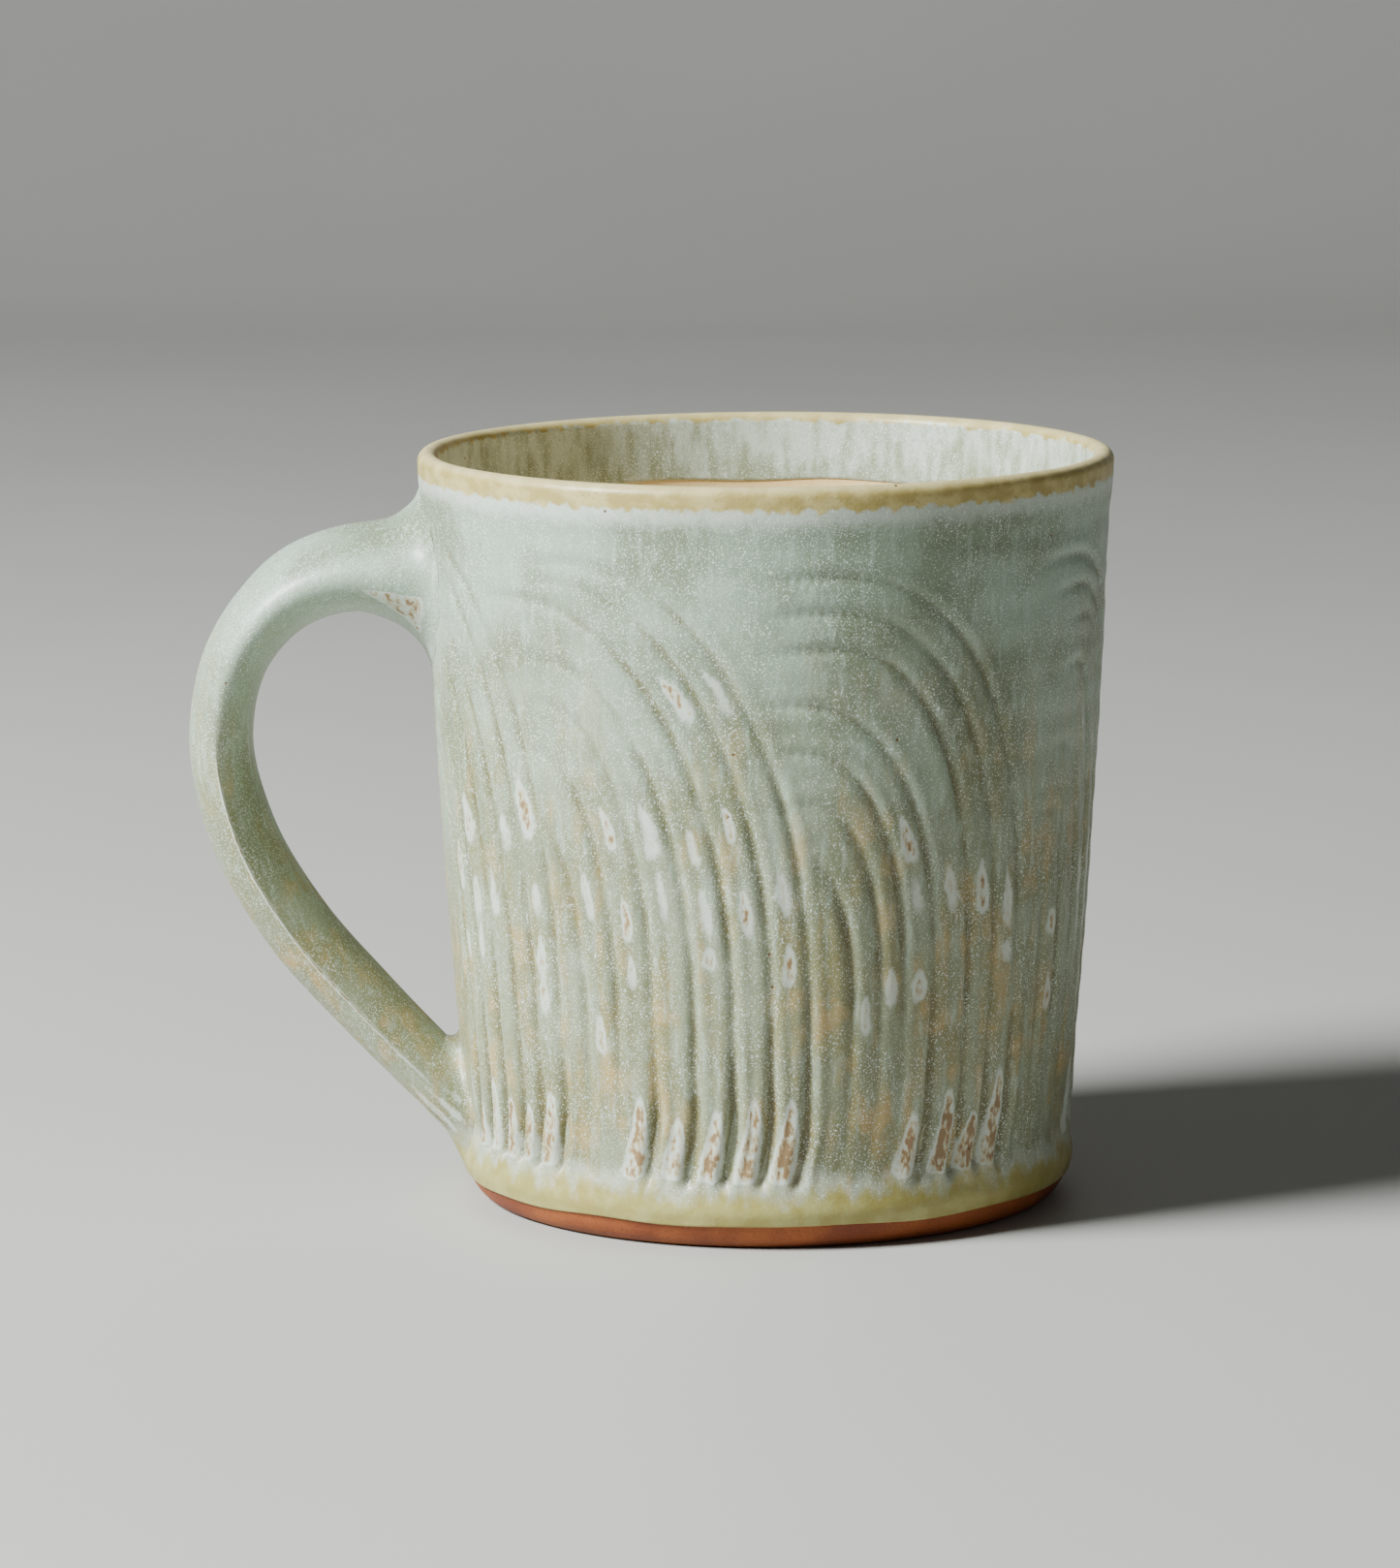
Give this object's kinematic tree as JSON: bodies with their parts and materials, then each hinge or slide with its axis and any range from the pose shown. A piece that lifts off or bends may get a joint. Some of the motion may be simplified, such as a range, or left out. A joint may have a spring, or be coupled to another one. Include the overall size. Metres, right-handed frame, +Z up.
{
  "type": "ceramic mug",
  "caption": "Hand-thrown stoneware mug with a pulled ear handle, combed arch grooves, sage-green glaze, an ochre lip and a bare clay foot.",
  "frame": {"origin": "centre of the foot's flat underside, on the mug's axis", "axes": "+Z up the mug's axis, out of its mouth; the handle stands out along -X, in the plane y = 0; +Y completes a right-handed frame"},
  "size_m": [0.1201, 0.09, 0.0974],
  "materials": {
    "stoneware": "bare, fine-grained and matte, toasted orange-brown",
    "sage_glaze": "satin-matte sage green with fine crystals, breaking white and tan on edges and olive in grooves",
    "liner_glaze": "satin, peach to warm orange-tan, toasted darker on the throwing rings",
    "ochre_glaze": "satin, thin and ochre with a ragged white edge",
    "foot_glaze": "satin-gloss, pooled yellow-green"
  },
  "bodies": {
    "root": {"thrown_body": "stoneware", "pulled_handle": "stoneware", "upper_joint_coil": "stoneware", "lower_joint_coil": "stoneware", "liner_glaze": "liner_glaze", "outer_glaze": "sage_glaze", "handle_glaze": "sage_glaze", "rim_glaze_band": "ochre_glaze", "foot_glaze_band": "foot_glaze"}
  },
  "joints": []
}
